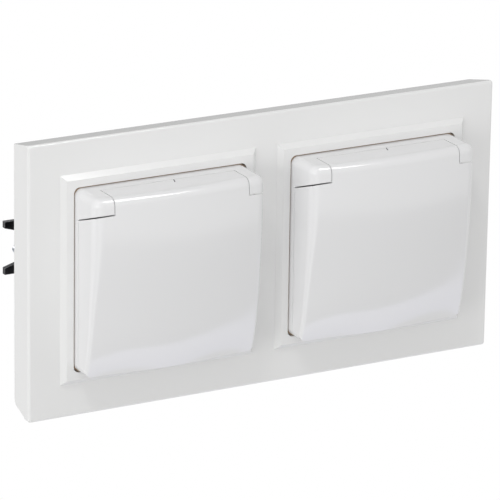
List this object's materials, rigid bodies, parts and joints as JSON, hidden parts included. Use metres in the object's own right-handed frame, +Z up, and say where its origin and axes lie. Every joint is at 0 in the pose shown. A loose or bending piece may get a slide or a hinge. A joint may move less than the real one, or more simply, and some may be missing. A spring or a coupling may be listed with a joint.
{
  "type": "double weatherproof socket",
  "caption": "Flush wall socket pair in one rectangular frame with raised surrounds, each under a sprung, convex hinged lid, with claw fixing behind.",
  "frame": {"origin": "centre of the frame on the wall plane", "axes": "+Z up, +X to the right seen from the front, +Y into the wall"},
  "size_m": [0.155, 0.0559, 0.084],
  "materials": {
    "white_plastic": "satin",
    "grey_rubber": "matt",
    "pin_steel": "bright",
    "zinc_steel": "zinc plated",
    "plate_steel": "zinc plated",
    "claw_steel": "black",
    "black_insulator": "matt",
    "contact_brass": "bright"
  },
  "bodies": {
    "frame_body": {"two_gang_frame": "white_plastic", "left_cover_base": "white_plastic", "left_frame_seal": "grey_rubber", "left_hinge_pin": "pin_steel", "left_cover_screw": "zinc_steel", "left_support_plate": "plate_steel", "left_plate_rivets": "zinc_steel", "left_contact_carrier": "black_insulator", "left_live_contact": "contact_brass", "left_neutral_contact": "contact_brass", "left_earth_bow": "contact_brass", "left_terminal_screws": "zinc_steel", "right_cover_base": "white_plastic", "right_frame_seal": "grey_rubber", "right_hinge_pin": "pin_steel", "right_cover_screw": "zinc_steel", "right_support_plate": "plate_steel", "right_plate_rivets": "zinc_steel", "right_contact_carrier": "black_insulator", "right_live_contact": "contact_brass", "right_neutral_contact": "contact_brass", "right_earth_bow": "contact_brass", "right_terminal_screws": "zinc_steel"},
    "left_lid_body": {"left_lid": "white_plastic", "left_lid_gasket": "grey_rubber", "left_hinge_spring": "pin_steel"},
    "left_outer_claw_body": {"left_outer_claw": "claw_steel"},
    "left_inner_claw_body": {"left_inner_claw": "claw_steel"},
    "left_outer_claw_screw_body": {"left_outer_claw_screw": "zinc_steel"},
    "left_inner_claw_screw_body": {"left_inner_claw_screw": "zinc_steel"},
    "right_lid_body": {"right_lid": "white_plastic", "right_lid_gasket": "grey_rubber", "right_hinge_spring": "pin_steel"},
    "right_outer_claw_body": {"right_outer_claw": "claw_steel"},
    "right_inner_claw_body": {"right_inner_claw": "claw_steel"},
    "right_outer_claw_screw_body": {"right_outer_claw_screw": "zinc_steel"},
    "right_inner_claw_screw_body": {"right_inner_claw_screw": "zinc_steel"}
  },
  "joints": [
    {"name": "left_lid_hinge", "type": "hinge", "parent": "frame_body", "child": "left_lid_body", "pos_m": [-0.0355, -0.024, 0.0254], "axis": [-1, 0, 0], "range_deg": [0, 110], "stiffness_Nm_per_rad": 0.01, "springref_deg": -34.38},
    {"name": "left_outer_claw_screw_turn", "type": "hinge", "parent": "frame_body", "child": "left_outer_claw_screw_body", "pos_m": [-0.0651, 0, 0], "axis": [0, 1, 0], "range_deg": [0, 1801]},
    {"name": "left_outer_claw_slide", "type": "slide", "parent": "frame_body", "child": "left_outer_claw_body", "axis": [0, -1, 0], "range_m": [0, 0.0035]},
    {"name": "left_inner_claw_screw_turn", "type": "hinge", "parent": "frame_body", "child": "left_inner_claw_screw_body", "pos_m": [-0.0059, 0, 0], "axis": [0, 1, 0], "range_deg": [0, 1801]},
    {"name": "left_inner_claw_slide", "type": "slide", "parent": "frame_body", "child": "left_inner_claw_body", "axis": [0, -1, 0], "range_m": [0, 0.0035]},
    {"name": "right_lid_hinge", "type": "hinge", "parent": "frame_body", "child": "right_lid_body", "pos_m": [0.0355, -0.024, 0.0254], "axis": [-1, 0, 0], "range_deg": [0, 110], "stiffness_Nm_per_rad": 0.01, "springref_deg": -34.38},
    {"name": "right_outer_claw_screw_turn", "type": "hinge", "parent": "frame_body", "child": "right_outer_claw_screw_body", "pos_m": [0.0651, 0, 0], "axis": [0, 1, 0], "range_deg": [0, 1801]},
    {"name": "right_outer_claw_slide", "type": "slide", "parent": "frame_body", "child": "right_outer_claw_body", "axis": [0, -1, 0], "range_m": [0, 0.0035]},
    {"name": "right_inner_claw_screw_turn", "type": "hinge", "parent": "frame_body", "child": "right_inner_claw_screw_body", "pos_m": [0.0059, 0, 0], "axis": [0, 1, 0], "range_deg": [0, 1801]},
    {"name": "right_inner_claw_slide", "type": "slide", "parent": "frame_body", "child": "right_inner_claw_body", "axis": [0, -1, 0], "range_m": [0, 0.0035]}
  ],
  "couplings": [
    {"joint": "left_outer_claw_screw_turn", "follows": "left_outer_claw_slide", "rad_per_m": 8976},
    {"joint": "left_inner_claw_screw_turn", "follows": "left_inner_claw_slide", "rad_per_m": 8976},
    {"joint": "right_outer_claw_screw_turn", "follows": "right_outer_claw_slide", "rad_per_m": 8976},
    {"joint": "right_inner_claw_screw_turn", "follows": "right_inner_claw_slide", "rad_per_m": 8976}
  ]
}
